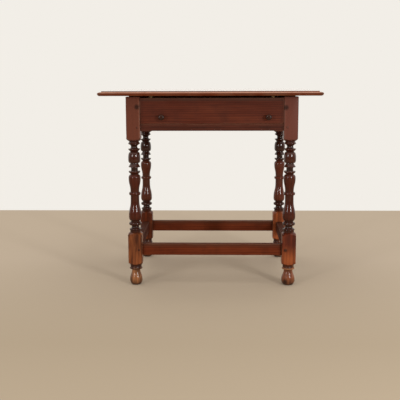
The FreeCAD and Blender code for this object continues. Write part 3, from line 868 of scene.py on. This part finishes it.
@dataclass(frozen=True)
class TurnedLeg:
    """A one-piece leg turned from square stock. Sizes are in millimetres."""

    segments: int = 56
    square: float = 50.0
    top: float = 690.5
    arris: float = 1.5
    arris_cuts: int = 14
    arris_wear: float = 0.9
    wear_pattern: tuple[float, float, float] = (40.0, 40.0, 55.0)
    wear_shift: float = 7.0
    rounding: float = 0.45
    past_corner: float = 37.5
    shoulder_slope: float = 0.7
    upper_block_bottom: float = 536.0
    spool_bottom: float = 414.0
    lower_block_top: float = 194.5
    lower_block_bottom: float = 79.0
    tip_height: float = 3.5
    tip_rise: float = 1.0
    step_height: float = 0.5
    collar_radius: float = 17.2
    collar_height: float = 5.5
    spool_radius: float = 21.6
    spool_flare: float = 5.3
    spool_return: float = 3.2
    spool_waist_edge: float = 15.2
    spool_waist: float = 11.6
    spool_waist_height: float = 13.0
    spool_taper: float = 7.0
    neck_radius: float = 14.6
    neck_height: float = 2.5
    barrel_radius: float = 22.2
    barrel_end: float = 16.5
    barrel_crown: float = 20.0
    barrel_round: float = 11.0
    barrel_height: float = 39.0
    cup_radius: float = 21.2
    cup_flare: float = 9.3
    cup_waist: float = 12.6
    cup_waist_height: float = 12.7
    cup_low_tip: float = 5.5
    cup_taper: float = 5.5
    upper_vase_share: float = 0.403
    upper_vase_radius: float = 22.0
    upper_vase_shoulder: float = 11.5
    vase_neck: float = 15.8
    vase_neck_height: float = 17.0
    middle_ring_radius: float = 21.2
    middle_ring_edge: float = 19.0
    middle_ring_height: float = 10.4
    middle_ring_fillet: float = 1.5
    lower_vase_radius: float = 23.2
    lower_vase_bulb: float = 15.0
    lower_vase_foot: float = 15.8
    base_neck_height: float = 4.5
    base_ring_radius: float = 23.0
    base_ring_edge: float = 17.5
    base_ring_height: float = 13.0
    base_waist: float = 13.5
    base_waist_height: float = 4.0
    base_flare: float = 7.6
    base_nose_radius: float = 21.6
    base_nose_edge: float = 20.0
    base_nose: float = 6.0
    base_collar: float = 19.5
    base_collar_height: float = 7.1
    ankle_collar: float = 20.5
    ankle_ring_radius: float = 23.4
    ankle_flare: float = 2.5
    ankle_radius: float = 15.6
    foot_height: float = 59.5
    foot_radius: float = 24.6
    foot_radius_height: float = 18.0
    foot_flat: float = 12.5
    pith_mm: Span = (22.0, 16.0)
    pith_step_mm: float = 9.0

    def shoulder(self, level: float, radius: float, direction: int) -> float:
        """Level at which a block's conical shoulder has a radius."""
        return level + direction * self.shoulder_slope * (self.square / 2 - radius)

    def draw_tip(self, outline: LatheOutline, radius: float, height: float) -> None:
        """Draw the rounded rim of a ring, from one flank to the other."""
        outline.arc(radius - self.tip_rise, height, radius)

    def draw_spool(self, outline: LatheOutline) -> None:
        """Draw the collar and two sharp rings with a waist between them.

        Args:
            outline: The leg's outline so far.
        """
        rim = self.spool_radius - self.tip_rise
        outline.line(self.collar_radius, self.shoulder(self.upper_block_bottom, self.collar_radius, -1))
        outline.line(self.collar_radius, self.upper_block_bottom - self.collar_height)
        outline.fall(rim, self.spool_flare)
        self.draw_tip(outline, self.spool_radius, self.tip_height)
        outline.fall(self.spool_waist_edge, self.spool_return)
        outline.arc(self.spool_waist_edge, self.spool_waist_height, self.spool_waist)
        outline.fall(rim, self.step_height)
        self.draw_tip(outline, self.spool_radius, self.tip_height)
        outline.fall(self.neck_radius, self.spool_taper)
        outline.fall(self.neck_radius, self.neck_height)

    def draw_barrel(self, outline: LatheOutline) -> None:
        """Draw the barrel, which swells slowly at its top and closes faster at its foot.

        Args:
            outline: The leg's outline so far.
        """
        outline.step(self.barrel_end)
        outline.quarter(self.barrel_radius, self.barrel_crown, False)
        outline.fall(self.barrel_radius, self.barrel_height - self.barrel_crown - self.barrel_round)
        outline.quarter(self.barrel_end, self.barrel_round, True)
        outline.step(self.neck_radius)
        outline.fall(self.neck_radius, self.neck_height)

    def draw_cups(self, outline: LatheOutline) -> None:
        """Draw two cups that open towards a waist between them.

        Args:
            outline: The leg's outline so far.
        """
        rim = self.cup_radius - self.tip_rise
        outline.fall(rim, self.cup_flare)
        self.draw_tip(outline, self.cup_radius, self.tip_height)
        outline.fall(self.cup_waist, self.step_height)
        outline.fall(self.cup_waist, self.cup_waist_height)
        outline.fall(rim, self.step_height)
        self.draw_tip(outline, self.cup_radius, self.cup_low_tip)
        outline.fall(self.neck_radius, self.cup_taper)
        outline.fall(self.neck_radius, self.neck_height)

    def draw_vases(self, outline: LatheOutline, lower_end: float) -> None:
        """Draw the two vases, foot to foot on the middle ring.

        Args:
            outline: The leg's outline so far.
            lower_end: Level at which the lower vase ends.
        """
        ring_total = self.middle_ring_height + 2 * self.middle_ring_fillet
        upper_drop = self.upper_vase_share * (outline.level - lower_end - ring_total)
        outline.quarter(self.upper_vase_radius, self.upper_vase_shoulder, False)
        outline.sway(self.vase_neck, upper_drop - self.upper_vase_shoulder)
        outline.fall(self.vase_neck, self.middle_ring_fillet)
        outline.step(self.middle_ring_edge)
        outline.arc(self.middle_ring_edge, self.middle_ring_height, self.middle_ring_radius)
        outline.step(self.vase_neck)
        outline.line(self.vase_neck, outline.level - self.middle_ring_fillet - self.vase_neck_height)
        outline.sway(self.lower_vase_radius, outline.level - lower_end - self.lower_vase_bulb)
        outline.quarter(self.lower_vase_foot, self.lower_vase_bulb, True)

    def draw_base_rings(self, outline: LatheOutline) -> None:
        """Draw the two rings over the lower block, and the collar under them.

        Args:
            outline: The leg's outline so far.
        """
        outline.fall(self.lower_vase_foot, self.base_neck_height)
        outline.step(self.base_ring_edge)
        outline.arc(self.base_ring_edge, self.base_ring_height, self.base_ring_radius)
        outline.step(self.base_waist)
        outline.fall(self.base_waist, self.base_waist_height)
        outline.quarter(self.base_nose_edge, self.base_flare, True)
        outline.arc(self.base_nose_edge, self.base_nose, self.base_nose_radius)
        outline.step(self.base_collar)
        outline.line(self.base_collar, self.shoulder(self.lower_block_top, self.base_collar, 1))

    def draw_foot(self, outline: LatheOutline) -> None:
        """Draw the ankle's collar with its sharp rim, and the pear-shaped foot.

        Args:
            outline: The leg's outline so far.
        """
        tip_top = self.foot_height + self.step_height + self.tip_height
        outline.line(self.ankle_collar, self.shoulder(self.lower_block_bottom, self.ankle_collar, -1))
        outline.line(self.ankle_collar, tip_top + self.ankle_flare)
        outline.line(self.ankle_ring_radius - self.tip_rise, tip_top)
        self.draw_tip(outline, self.ankle_ring_radius, self.tip_height)
        outline.line(self.ankle_radius, self.foot_height)
        outline.sway(self.foot_radius, self.foot_height - self.foot_radius_height)
        outline.quarter(self.foot_flat, self.foot_radius_height, True)

    def outline(self) -> LatheOutline:
        """Draw the whole leg from its top down to the floor.

        Returns:
            The outline.
        """
        base = (self.base_neck_height + self.base_ring_height + self.base_waist_height
                + self.base_flare + self.base_nose + self.base_collar_height)
        vase_end = self.shoulder(self.lower_block_top, self.base_collar, 1) + base
        drawn = LatheOutline(self.past_corner, self.top)
        drawn.line(self.past_corner, self.shoulder(self.upper_block_bottom, self.past_corner, -1))
        self.draw_spool(drawn)
        self.draw_barrel(drawn)
        self.draw_cups(drawn)
        self.draw_vases(drawn, vase_end)
        self.draw_base_rings(drawn)
        drawn.line(self.past_corner, self.shoulder(self.lower_block_top, self.past_corner, 1))
        drawn.line(self.past_corner, self.shoulder(self.lower_block_bottom, self.past_corner, -1))
        self.draw_foot(drawn)
        return drawn

    def plane_flats(self, shape: BMesh) -> None:
        """Cut the four flats of the square blocks, and close the cuts.

        Args:
            shape: The turned leg on its own axis.
        """
        for quarter in range(4):
            outward = Matrix.Rotation(quarter * math.pi / 2, 3, "Z") @ Vector((1.0, 0.0, 0.0))
            everything = shape.verts[:] + shape.edges[:] + shape.faces[:]
            cut = bmesh.ops.bisect_plane(shape, geom=everything, plane_co=outward * self.square / 2 * MM,
                                         plane_no=outward, clear_outer=True)
            rims = [item for item in cut["geom_cut"] if isinstance(item, BMEdge)]
            bmesh.ops.edgeloop_fill(shape, edges=rims)

    def at_corner(self, edge: BMEdge) -> bool:
        """Tell whether an edge runs up a corner of the square stock."""
        half = self.square / 2 * MM
        return all(abs(abs(value) - half) < SAME_PLACE for vert in edge.verts for value in vert.co.xy)

    def wear_arrises(self, shape: BMesh, seed: int) -> None:
        """Round the corners of the blocks unevenly.

        Args:
            shape: The leg on its own axis.
            seed: Makes the wear of each leg its own.
        """
        corners = [edge for edge in shape.edges if self.at_corner(edge)]
        parts = bmesh.ops.subdivide_edges(shape, edges=corners, cuts=self.arris_cuts)
        uprights = [item for item in parts["geom"]
                    if isinstance(item, BMEdge) and self.at_corner(item)]
        rounded = bmesh.ops.bevel(shape, geom=uprights, offset=self.arris * MM, offset_type="OFFSET",
                                  segments=3, profile=0.5, affect="EDGES", material=-1, clamp_overlap=True)
        for vert in rounded["verts"]:
            place = Vector(value * scale for value, scale in zip(vert.co, self.wear_pattern))
            place.x += seed * self.wear_shift
            rub = max(0.0, noise.noise(place)) * self.arris_wear * MM
            vert.co -= Vector((vert.co.x, vert.co.y, 0.0)).normalized() * rub

    def finishes(self, node: str, seed: int, tones: LegTones) -> list[Material]:
        """Make the finishes of one leg.

        Args:
            node: The solid that it stands for.
            seed: Makes its grain its own.
            tones: Tones that this leg doesn't share with the others.

        Returns:
            The finishes of the dry blocks, the polished vases and feet, and the brightly rubbed spool.
        """
        pith = (self.pith_mm[0] + self.pith_step_mm * seed, self.pith_mm[1], 0.0)
        dry = WaxedTurning(f"waxed_walnut_{node}", LEG_WALNUT, Grain.ALONG_Z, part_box(node), pith_mm=pith,
                           ring_mm=12.0, band_mm=14.0, coat=0.2, coat_roughness=0.2, tones=tones)
        polished = replace(dry, name=f"polished_turning_{node}", coat=0.55, coat_roughness=0.08,
                           specular=0.1)
        bright = replace(polished, name=f"rubbed_spool_{node}", coat=0.8)
        return [finish.material() for finish in (dry, polished, bright)]

    def build(self, name: str, node: str, seed: int, tones: LegTones) -> None:
        """Build, dress and place one leg.

        Args:
            name: Name of the piece.
            node: The solid that it stands for.
            seed: Makes its wear its own.
            tones: Tones that this leg doesn't share with the others.
        """
        low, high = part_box(node)
        shape = self.outline().turned(self.segments)
        self.plane_flats(shape)
        self.wear_arrises(shape, seed)
        middle = (low + high) / 2
        bmesh.ops.translate(shape, verts=shape.verts, vec=(middle.x, middle.y, 0.0))
        for face in shape.faces:
            level = face.calc_center_median().z / MM
            turned = level < self.foot_height or self.lower_block_top < level < self.upper_block_bottom
            rubbed = self.spool_bottom < level < self.upper_block_bottom
            face.material_index = turned + rubbed
        materials = self.finishes(node, seed, tones)
        soften(finished(name, shape, materials, "frame", node), self.rounding)


@dataclass(frozen=True)
class Peg:
    """Whittled pegs that pin the joints: nine-sided, each turned its own way, with rounded ends."""

    colours: WoodColours = DARK_FRUITWOOD
    facets: int = 9
    turn_step: float = 1.7
    rim_slant: float = 0.5
    end_round_mm: float = 1.1

    def build(self, name: str, node: str) -> None:
        """Build and dress one group of pegs.

        Args:
            name: Name of the piece.
            node: The grouped node that it stands for.
        """
        group = bmesh.new()
        for count, (low, high) in enumerate(map(box_of, separate_solids(node))):
            length, radius, along = pin_sizes(low, high)
            turn = along.to_track_quat("Z", "Y").to_matrix() @ Matrix.Rotation(count * self.turn_step, 3, "Z")
            made = bmesh.ops.create_cone(group, cap_ends=True, segments=self.facets, radius1=radius,
                                         radius2=radius, depth=length,
                                         matrix=Matrix.Translation((low + high) / 2) @ turn.to_4x4())
            edges = dict.fromkeys(edge for vert in made["verts"] for edge in vert.link_edges)
            rims = [edge for edge in edges
                    if abs((edge.verts[0].co - edge.verts[1].co).normalized().dot(along)) < self.rim_slant]
            bmesh.ops.bevel(group, geom=rims, offset=self.end_round_mm * MM, offset_type="OFFSET",
                            segments=2, profile=0.5, affect="EDGES", material=-1)
        finish = Timber(f"fruitwood_{node}", self.colours, Grain.ALONG_Y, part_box(node), streak_mm=2.0)
        finished(name, group, [finish.material()], "frame", node, sharp_deg=25.0)


@dataclass(frozen=True)
class ForgedNail:
    """Forged nails: a square tapering shank under a flat faceted head."""

    head_facets: int = 7
    head_crown: float = 0.7
    head_mm: float = 1.2
    shank_sides: int = 4
    shank_mm: float = 2.2
    tip_mm: float = 0.8

    def build(self, name: str, node: str, body: str) -> None:
        """Build and dress one group of nails, each with its head where its solid is widest.

        Args:
            name: Name of the piece.
            node: The grouped node that it stands for.
            body: The body that the nails move with.
        """
        group = bmesh.new()
        head = self.head_mm * MM
        for places in separate_solids(node):
            low, high = box_of(places)
            length, radius, along = pin_sizes(low, high)
            middle = (low + high) / 2
            widest = max(places, key=lambda place: (place - middle).cross(along).length)
            towards_head = along if (widest - middle).dot(along) > 0 else -along
            turn = towards_head.to_track_quat("Z", "Y").to_matrix().to_4x4()
            head_place = middle + towards_head * (length / 2 - head / 2)
            shank_place = middle - towards_head * head / 2
            bmesh.ops.create_cone(group, cap_ends=True, segments=self.head_facets, radius1=radius,
                                  radius2=radius * self.head_crown, depth=head,
                                  matrix=Matrix.Translation(head_place) @ turn)
            bmesh.ops.create_cone(group, cap_ends=True, segments=self.shank_sides,
                                  radius1=self.tip_mm * MM, radius2=self.shank_mm / 2 * MM,
                                  depth=length - head, matrix=Matrix.Translation(shank_place) @ turn)
        finished(name, group, [ForgedIron(f"forged_iron_{node}").material()], body, node,
                 sharp_deg=20.0)


@dataclass(frozen=True)
class Knob:
    """A small turned knob with its tenon in the drawer front. Sizes are in millimetres."""

    segments: int = 40
    radius: float = 10.5
    tip_radius: float = 3.7
    projection: float = 22.0
    head_height: float = 9.0
    neck_radius: float = 5.0
    neck_height: float = 7.5
    base_radius: float = 7.0
    base_height: float = 2.5
    tenon_radius: float = 4.5
    tenon_length: float = 20.0
    rounding: float = 0.5

    def build(self, name: str, node: str) -> None:
        """Build and dress one knob.

        Args:
            name: Name of the piece.
            node: The solid that it stands for.
        """
        low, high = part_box(node)
        outline = LatheOutline(self.tip_radius, self.projection)
        outline.quarter(self.radius, self.head_height / 2, False)
        outline.quarter(self.neck_radius, outline.level - self.base_height - self.neck_height, True)
        outline.line(self.neck_radius, self.base_height)
        outline.step(self.base_radius)
        outline.line(self.base_radius, 0.0)
        outline.step(self.tenon_radius)
        outline.line(self.tenon_radius, -self.tenon_length)
        shape = outline.turned(self.segments)
        forward = Matrix.Rotation(math.pi / 2, 3, "X")
        bmesh.ops.rotate(shape, verts=shape.verts, cent=(0, 0, 0), matrix=forward)
        middle = (low + high) / 2
        bmesh.ops.translate(shape, verts=shape.verts,
                            vec=(middle.x, low.y + self.projection * MM, middle.z))
        finish = Timber(f"fruitwood_{node}", DARK_FRUITWOOD, Grain.ALONG_Y, (low, high), streak_mm=2.0,
                        roughness=(0.4, 0.55), coat=0.35, coat_roughness=0.2, specular=0.15,
                        pith_mm=(6.0, 3.0, 0.0), ring_mm=3.0)
        soften(finished(name, shape, [finish.material()], "drawer", node), self.rounding)


def body_box(node: str, span: Box) -> tuple[Grain, Box]:
    """Find the part of a tenoned piece that shows between its legs.

    Args:
        node: Name of the solid.
        span: Lowest and highest corner of the room between the legs.

    Returns:
        Which way the piece lies, and the lowest and highest corner of the part that shows.
    """
    low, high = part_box(node)
    if high.x - low.x > high.y - low.y:
        return Grain.ALONG_X, (Vector((span[0].x, low.y, low.z)), Vector((span[1].x, high.y, high.z)))
    return Grain.ALONG_Y, (Vector((low.x, span[0].y, low.z)), Vector((high.x, span[1].y, high.z)))


@dataclass(frozen=True)
class Frame:
    """The four legs with the aprons, the rail and the stretchers between them, and their pegs."""

    leg: TurnedLeg = TurnedLeg()
    slim_footed_leg: TurnedLeg = TurnedLeg(foot_radius=22.9, ankle_radius=14.8)
    rounding_mm: float = 0.9
    pith_mm: Span = (55.0, 35.0)
    pith_step_mm: Span = (8.0, -6.0)

    def build_legs(self) -> None:
        """Build the legs, of which the front left one has a slimmer foot."""
        for seed, (corner, tones) in enumerate(LEG_TONES.items()):
            leg = self.slim_footed_leg if corner == "front_left" else self.leg
            leg.build(f"turned_leg_{corner}", f"leg_{corner}", seed, tones)

    def dress_members(self) -> None:
        """Dress the aprons, the rail and the stretchers, each from its own part of the tree."""
        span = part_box("leg_front_left")[1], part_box("leg_rear_right")[0]
        waxed = WaxedBoard("waxed_walnut", WAXED_WALNUT, Grain.ALONG_X, span)
        # the rail's paler band along its top edge is partly painted highlight, partly wear
        rail = replace(waxed, colours=RAIL_WALNUT, upper_colour="#603224", upper_mm=(8.0, 0.0),
                       upper_band_strength=0.6)
        # the stretchers' greyer band under their top edge is painted sheen
        dry = replace(waxed, colours=STRETCHER_WALNUT, upper_mm=(16.0, 0.0), upper_band_strength=0.75,
                      roughness=(0.55, 0.7), coat=0.0, specular=0.08)
        # the side stretchers take the darker rail colours as painted shade
        shaded = replace(dry, colours=RAIL_WALNUT)
        members = {"apron_left": waxed, "apron_right": waxed, "apron_rear": waxed, "drawer_rail": rail,
                   "stretcher_front": dry, "stretcher_rear": dry,
                   "stretcher_left": shaded, "stretcher_right": shaded}
        for count, (node, finish) in enumerate(members.items()):
            grain, box = body_box(node, span)
            pith = [start + step * count for start, step in zip(self.pith_mm, self.pith_step_mm)]
            finish = replace(finish, name=f"waxed_walnut_{node}", grain=grain, box=box, pith_mm=(*pith, 0.0))
            dress_node(node, finish, self.rounding_mm)

    def build(self) -> None:
        """Build the legs and the pegs, and dress what stands between them."""
        self.build_legs()
        self.dress_members()
        for node, colours in (("apron_pegs", WAXED_FRUITWOOD), ("stretcher_pegs", DARK_FRUITWOOD)):
            Peg(colours).build(f"whittled_{node}", node)


@dataclass(frozen=True)
class MouldedTop:
    """The three boards of the top with their moulded edge, and the pegs that hold them."""

    rounding_mm: float = 0.6
    flat_deg: float = 0.5
    level_normal: float = 0.99
    pith_mm: tuple[float, float, float] = (40.0, 60.0, 0.0)
    pith_step_mm: tuple[float, float, float] = (0.0, 45.0, 300.0)

    def board(self, node: str) -> BMesh:
        """Copy a board's solid as one closed mesh, whose upper face has a finish of its own.

        Args:
            node: Name of the board's solid.

        Returns:
            The copy.
        """
        shape = joined_copy(node)
        bmesh.ops.dissolve_limit(shape, angle_limit=math.radians(self.flat_deg), verts=shape.verts,
                                 edges=shape.edges)
        for face in shape.faces:
            face.material_index = int(face.normal.z > self.level_normal)
        return shape

    def build(self) -> None:
        """Build the boards, each from its own part of the tree, and the pegs."""
        whole = (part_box("top_board_front")[0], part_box("top_board_rear")[1])
        for count, place in enumerate(("front", "middle", "rear")):
            node = f"top_board_{place}"
            pith = tuple(start + step * count for start, step in zip(self.pith_mm, self.pith_step_mm))
            # the pale band along the upper edge of the moulding is a painted highlight
            edge = WaxedBoard(f"waxed_walnut_edge_{place}", EDGE_WALNUT, Grain.ALONG_X, whole, pith_mm=pith,
                              edge_mm=8.0, edge_wear=0.35, end_grime=0.75, upper_colour="#C09078",
                              upper_mm=(7.5, 3.0), upper_band_strength=0.95)
            face = WaxedBoard(f"polished_walnut_{place}", TOP_WALNUT, Grain.ALONG_X, whole, pith_mm=pith,
                              roughness=(0.3, 0.42), coat=0.85, coat_roughness=0.06, edge_mm=30.0,
                              edge_wear=0.2, end_grime=0.0)
            piece = finished(f"moulded_board_{place}", self.board(node), [edge.material(), face.material()],
                             "frame", node, sharp_deg=30.0)
            soften(piece, self.rounding_mm)
        Peg().build("whittled_top_pegs", "top_pegs")


@dataclass(frozen=True)
class Drawer:
    """The drawer: a waxed front with two knobs on a nailed box of bare pine."""

    rounding_mm: float = 0.8

    def build(self) -> None:
        """Dress the drawer's pieces, and build its knobs and nails."""
        front = WaxedBoard("waxed_walnut_drawer_front", WAXED_WALNUT, Grain.ALONG_X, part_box("drawer_front"),
                           pith_mm=(60.0, 20.0, 150.0), edge_mm=5.0, edge_wear=0.4,
                           upper_colour="#483026", upper_mm=(14.0, 0.0), upper_band_strength=0.9)
        dress_node("drawer_front", front, self.rounding_mm)
        for node, grain in (("drawer_side_left", Grain.ALONG_Y), ("drawer_side_right", Grain.ALONG_Y),
                            ("drawer_back", Grain.ALONG_X), ("drawer_bottom", Grain.ALONG_X)):
            dress_in_pine(node, grain, self.rounding_mm)
        for side in ("left", "right"):
            Knob().build(f"turned_knob_{side}", f"knob_{side}")
        ForgedNail().build("forged_drawer_nails", "drawer_nails", "drawer")


@dataclass(frozen=True)
class DrawerSupports:
    """Runners, guides and stops of bare pine, with the nails that hold them."""

    rounding_mm: float = 0.7

    def build(self) -> None:
        """Dress the runners, guides and stops, and build their nails."""
        for kind in ("drawer_runner", "drawer_guide", "drawer_stop"):
            for side in ("left", "right"):
                dress_in_pine(f"{kind}_{side}", Grain.ALONG_Y, self.rounding_mm)
        ForgedNail().build("forged_runner_nails", "runner_nails", "frame")


@dataclass(frozen=True)
class Studio:
    """A pale floor in front of a white wall, two soft lamps and the camera. Lengths are in metres.

    The spans of the world are parts of a direction: Y from the room to the wall, and Z upwards.
    """

    wall_colour: str = "#F2EEE7"
    # front and back floor colours: the paler back is painted bounce light from the wall
    floor_colours: tuple[str, str] = ("#A79884", "#BAAB99")
    floor_fade: Span = (-0.85, 0.15)
    room_colour: str = "#9E968C"
    pit_colour: str = "#2A2725"
    wall_light: float = 1.2
    wall_span: Span = (-0.2, 0.2)
    ceiling_span: Span = (0.25, 0.6)
    horizon_span: Span = (-0.1, 0.0)
    floor_reach: float = 6.0
    floor_front: float = 4.0
    wall_line: float = 1.327
    lamp_turn_deg: float = 34.0
    lamp_distance: float = 3.3
    lamp_height: float = 1.05
    lamp_size: Span = (0.35, 0.8)
    lamp_watts: Span = (20.0, 44.0)
    aim_height: float = 0.35
    camera_place: tuple[float, float, float] = (0.0174, -2.8864, 0.7565)
    camera_pitch_deg: float = 9.37
    camera_yaw_deg: float = -1.31
    camera_roll_deg: float = -0.15
    lens_mm: float = 66.6
    sensor_mm: float = 36.0

    def lay_sheet(self, name: str, low: Span, high: Span, material: Material) -> None:
        """Lay one flat sheet on the floor's level.

        Args:
            name: Name of the sheet.
            low: Its lowest X and Y.
            high: Its highest X and Y.
            material: Its finish.
        """
        shape = bmesh.new()
        bmesh.ops.create_grid(shape, x_segments=1, y_segments=1, size=0.5)
        bmesh.ops.scale(shape, verts=shape.verts, vec=(high[0] - low[0], high[1] - low[1], 1.0))
        bmesh.ops.translate(shape, verts=shape.verts,
                            vec=((low[0] + high[0]) / 2, (low[1] + high[1]) / 2, 0.0))
        mesh = bpy.data.meshes.new(name)
        shape.to_mesh(mesh)
        shape.free()
        mesh.materials.append(material)
        sheet = bpy.data.objects.new(name, mesh)
        bpy.context.scene.collection.objects.link(sheet)

    def build_floor(self) -> None:
        """Lay the pale floor, painted paler towards the wall as painted bounce light from the wall, and
        beyond the wall's foot a sheet as white as it.
        """
        matt = bpy.data.materials.new("matt_pale_floor")
        tree = fresh_tree(matt)
        place = add_node(tree, "TexCoord", output="Object")
        depth = add_node(tree, "SeparateXYZ", (place,), "Y")
        painted_bounce = add_node(tree, "MapRange", (depth, *self.floor_fade))
        front, back = self.floor_colours
        shader = add_node(tree, "BsdfDiffuse", (painted(tree, front, [(back, painted_bounce)]),))
        add_node(tree, "OutputMaterial", (shader,))
        white = bpy.data.materials.new("white_wall")
        tree = fresh_tree(white)
        shader = add_node(tree, "Emission", (linear(self.wall_colour), 1.0))
        add_node(tree, "OutputMaterial", (shader,))
        reach = self.floor_reach
        self.lay_sheet("studio_floor", (-reach, -self.floor_front), (reach, self.wall_line), matt)
        self.lay_sheet("studio_wall_sheet", (-2 * reach, self.wall_line), (2 * reach, 3 * reach), white)

    def build_world(self) -> None:
        """Light from the white wall at the back and the ceiling, with a dimmer room at the front."""
        world = bpy.data.worlds.new("studio")
        tree = fresh_tree(world)
        direction = add_node(tree, "TexCoord", output="Generated")
        back = add_node(tree, "SeparateXYZ", (direction,), "Y")
        up = add_node(tree, "SeparateXYZ", (direction,), "Z")
        wall = add_node(tree, "MapRange", (back, *self.wall_span))
        ceiling = add_node(tree, "MapRange", (up, *self.ceiling_span))
        pale = add_node(tree, "Math", (wall, ceiling), operation="MAXIMUM")
        seen = add_node(tree, "LightPath", output="Is Camera Ray")
        white = add_node(tree, "Math", (pale, seen), operation="MAXIMUM")
        above = add_node(tree, "MapRange", (up, *self.horizon_span))
        colour = painted(tree, self.pit_colour, [(self.room_colour, above), (self.wall_colour, white)])
        strength = add_node(tree, "MapRange", (seen, 0.0, 1.0, self.wall_light, 1.0))
        light = add_node(tree, "Background", (colour, strength))
        add_node(tree, "OutputWorld", (light,))
        bpy.context.scene.world = world

    def hang_lamps(self) -> None:
        """Stand a soft lamp on each side of the camera, both aimed at the table."""
        turn = math.radians(self.lamp_turn_deg)
        for name, side, watts in zip(("left", "right"), (-1, 1), self.lamp_watts):
            lamp = bpy.data.lights.new(f"soft_lamp_{name}", "AREA")
            lamp.shape = "RECTANGLE"
            lamp.size, lamp.size_y = self.lamp_size
            lamp.energy = watts
            place = Vector((side * math.sin(turn), -math.cos(turn), 0.0)) * self.lamp_distance
            place.z = self.lamp_height
            holder = bpy.data.objects.new(lamp.name, lamp)
            holder.location = place
            aim = Vector((0.0, 0.0, self.aim_height)) - place
            holder.rotation_euler = aim.to_track_quat("-Z", "Y").to_euler()
            bpy.context.scene.collection.objects.link(holder)

    def set_camera(self) -> None:
        """Put the camera where the photograph was taken from."""
        camera = bpy.data.cameras.new("photo_camera")
        camera.lens = self.lens_mm
        camera.sensor_width = self.sensor_mm
        holder = bpy.data.objects.new(camera.name, camera)
        turn = (Matrix.Rotation(math.radians(-self.camera_yaw_deg), 3, "Z")
                @ Matrix.Rotation(math.radians(90 - self.camera_pitch_deg), 3, "X")
                @ Matrix.Rotation(math.radians(self.camera_roll_deg), 3, "Z"))
        holder.matrix_world = Matrix.Translation(self.camera_place) @ turn.to_4x4()
        bpy.context.scene.collection.objects.link(holder)
        bpy.context.scene.camera = holder

    def build(self) -> None:
        """Set up everything round the table."""
        self.build_floor()
        self.build_world()
        self.hang_lamps()
        self.set_camera()
        bpy.context.scene.view_settings.view_transform = "Standard"


def main() -> None:
    """Build the table and the studio, and log each part as it is done."""
    logging.basicConfig(level=logging.INFO, format="%(name)s: %(message)s")
    for part in (Frame(), MouldedTop(), Drawer(), DrawerSupports(), Studio()):
        part.build()
        log.info("%s done", type(part).__name__)


if __name__ == "__main__":
    main()
